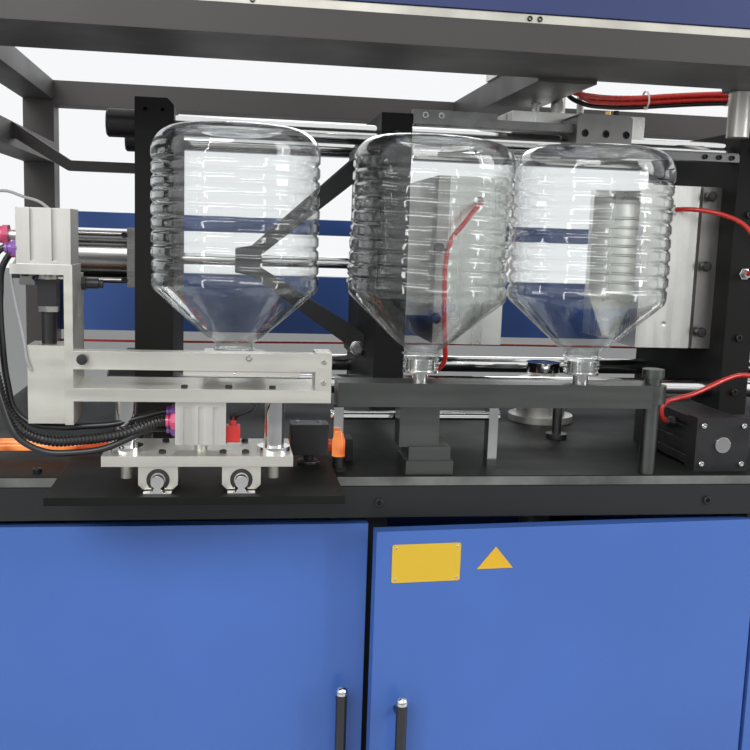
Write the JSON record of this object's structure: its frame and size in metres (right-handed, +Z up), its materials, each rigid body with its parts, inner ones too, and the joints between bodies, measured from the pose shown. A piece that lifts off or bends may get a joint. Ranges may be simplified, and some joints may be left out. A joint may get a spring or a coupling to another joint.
{
  "type": "blow moulding machine",
  "caption": "Stretch blow moulding machine with a tie-bar clamp, open moulds, bottle carrier and gripper on a blue cabinet, with blown bottles at its front.",
  "frame": {"origin": "centre of the bounding box on the floor", "axes": "+X along the clamp from the transfer unit to the index cylinder, +Y from the operator's side to the back, +Z up"},
  "size_m": [2, 0.98, 1.74],
  "materials": {
    "frame_paint": "semi-matt dark grey paint",
    "foot_steel": "zinc plated",
    "bed_paint": "dark grey-blue paint, lightly worn",
    "blue_paint": "smooth bright blue powder coat",
    "platen_paint": "matt dark grey paint",
    "chrome": "polished hard chrome",
    "black_oxide": "blackened steel",
    "cylinder_aluminium": "clear anodised",
    "housing_grey": "satin grey",
    "gear_steel": "ground steel",
    "carrier_steel": "blued steel",
    "mould_aluminium": "fine milled",
    "holder_steel": "ground steel",
    "satin_steel": "satin ground",
    "bottle_pet": "clear stretch-blown plastic",
    "hose_red": "red air hose",
    "hose_black": "black hoses",
    "lamp_quartz": "glowing quartz tube",
    "handle_black": "black bar"
  },
  "bodies": {
    "machine": {"base_frame": "frame_paint", "levelling_feet": "foot_steel", "bed_plate": "bed_paint", "cabinet_panels": "blue_paint", "upper_frame": "frame_paint", "top_fascia": "blue_paint", "fixed_platens": "platen_paint", "tie_bars": "chrome", "tie_bar_nuts": "black_oxide", "clamp_cylinders": "cylinder_aluminium", "rack_housing": "housing_grey", "base_mould_cylinder": "cylinder_aluminium", "blow_cylinder": "cylinder_aluminium", "carrier_bar": "carrier_steel", "carrier_posts": "black_oxide", "neck_mandrels": "chrome", "bottle_middle": "bottle_pet", "bottle_right": "bottle_pet", "index_cylinder": "cylinder_aluminium", "guide_rod": "chrome", "transfer_base_plate": "bed_paint", "shaft_rails": "chrome", "heater_lamps": "lamp_quartz", "top_air_hose": "hose_red"},
    "left_clamp": {"left_moving_platen": "platen_paint", "left_mould_holder": "holder_steel", "left_mould_half": "mould_aluminium", "upper_rack": "black_oxide", "left_thrust_yoke": "platen_paint", "left_piston_rod": "chrome", "left_mould_hose": "hose_red"},
    "right_clamp": {"right_moving_platen": "platen_paint", "right_mould_holder": "holder_steel", "right_mould_half": "mould_aluminium", "lower_rack": "black_oxide", "right_thrust_yoke": "platen_paint", "right_piston_rod": "chrome", "right_mould_hose": "hose_red"},
    "pinion": {"rack_pinion": "gear_steel"},
    "base_mould_slide": {"base_mould": "mould_aluminium"},
    "nozzle": {"blow_nozzle": "gear_steel"},
    "stretch": {"stretch_rod": "chrome"},
    "index": {"index_rod": "chrome"},
    "carriage": {"carriage_plate": "satin_steel", "bearing_blocks": "gear_steel", "guide_bushes": "gear_steel"},
    "lift": {"lift_plate": "satin_steel", "lift_cylinder": "cylinder_aluminium", "gripper_bar": "satin_steel", "side_plate": "satin_steel", "stroke_cylinder": "cylinder_aluminium", "hose_loom": "hose_black", "bottle_left": "bottle_pet"},
    "plunger_slide": {"plunger": "black_oxide"},
    "jaw_left": {"gripper_jaw_left": "satin_steel"},
    "jaw_right": {"gripper_jaw_right": "satin_steel"},
    "left_door": {"door_left": "blue_paint", "door_handle_left": "handle_black"},
    "middle_door": {"door_middle": "blue_paint", "door_handle_middle": "handle_black"}
  },
  "joints": [
    {"name": "left_clamp_slide", "type": "slide", "parent": "machine", "child": "left_clamp", "axis": [1, 0, 0], "range_m": [0, 0.122]},
    {"name": "right_clamp_slide", "type": "slide", "parent": "machine", "child": "right_clamp", "axis": [-1, 0, 0], "range_m": [0, 0.122]},
    {"name": "pinion_turn", "type": "hinge", "parent": "machine", "child": "pinion", "pos_m": [0.004, -0.091, 1.5005], "axis": [0, 1, 0], "range_deg": [0, 666]},
    {"name": "base_mould_lower", "type": "slide", "parent": "machine", "child": "base_mould_slide", "axis": [0, 0, -1], "range_m": [0, 0.0597]},
    {"name": "nozzle_rise", "type": "slide", "parent": "machine", "child": "nozzle", "axis": [0, 0, 1], "range_m": [0, 0.02]},
    {"name": "stretch_rise", "type": "slide", "parent": "machine", "child": "stretch", "axis": [0, 0, 1], "range_m": [0, 0.27]},
    {"name": "index_push", "type": "slide", "parent": "machine", "child": "index", "axis": [0, -1, 0], "range_m": [0, 0.1]},
    {"name": "carriage_slide", "type": "slide", "parent": "machine", "child": "carriage", "axis": [0, 1, 0], "range_m": [0, 0.08]},
    {"name": "lift_rise", "type": "slide", "parent": "carriage", "child": "lift", "axis": [0, 0, 1], "range_m": [0, 0.02]},
    {"name": "plunger_stroke", "type": "slide", "parent": "lift", "child": "plunger_slide", "axis": [0, 0, -1], "range_m": [0, 0.03]},
    {"name": "jaw_left_open", "type": "slide", "parent": "lift", "child": "jaw_left", "axis": [-1, 0, 0], "range_m": [0, 0.015]},
    {"name": "jaw_right_open", "type": "slide", "parent": "lift", "child": "jaw_right", "axis": [1, 0, 0], "range_m": [0, 0.015]},
    {"name": "left_door_hinge", "type": "hinge", "parent": "machine", "child": "left_door", "pos_m": [-0.966, -0.341, 0.53], "axis": [0, 0, -1], "range_deg": [0, 105]},
    {"name": "middle_door_hinge", "type": "hinge", "parent": "machine", "child": "middle_door", "pos_m": [0.195, -0.341, 0.53], "axis": [0, 0, 1], "range_deg": [-4, 101]}
  ],
  "couplings": [
    {"joint": "right_clamp_slide", "follows": "left_clamp_slide", "ratio": 1},
    {"joint": "pinion_turn", "follows": "left_clamp_slide", "rad_per_m": 95.238},
    {"joint": "jaw_right_open", "follows": "jaw_left_open", "ratio": 1}
  ]
}
